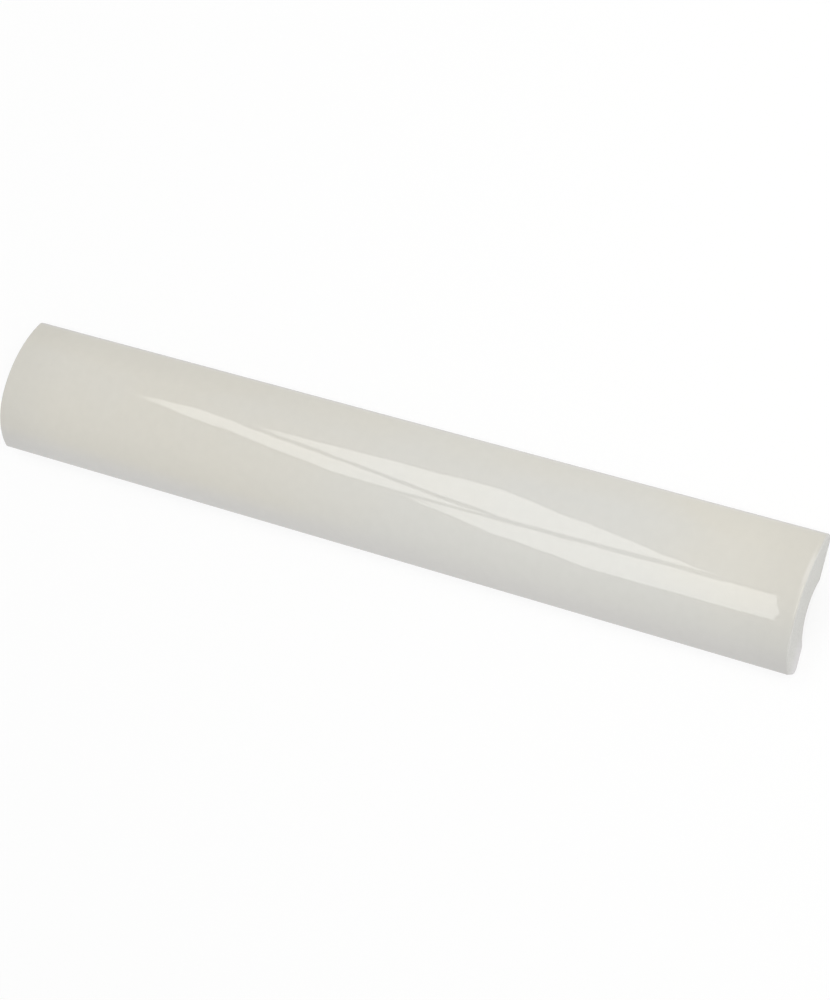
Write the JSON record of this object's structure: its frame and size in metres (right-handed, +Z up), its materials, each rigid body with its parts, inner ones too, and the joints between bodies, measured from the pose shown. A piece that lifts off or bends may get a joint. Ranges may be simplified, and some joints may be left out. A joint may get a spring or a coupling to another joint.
{
  "type": "bullnose tile",
  "caption": "Long narrow ceramic trim tile with a glazed half-round face and a hollow back, for finishing a tiled edge or border.",
  "frame": {"origin": "centre of the tile's footprint, on the plane of the two flat feet of its back", "axes": "+X along the tile's length, +Y across its width towards the thinner edge, +Z up out of the glazed face"},
  "size_m": [0.2, 0.0306, 0.011],
  "materials": {
    "glazed_body": "glossy cream glaze on the face, bare pale clay on the ends and back"
  },
  "bodies": {
    "root": {"bullnose_tile": "glazed_body"}
  },
  "joints": []
}
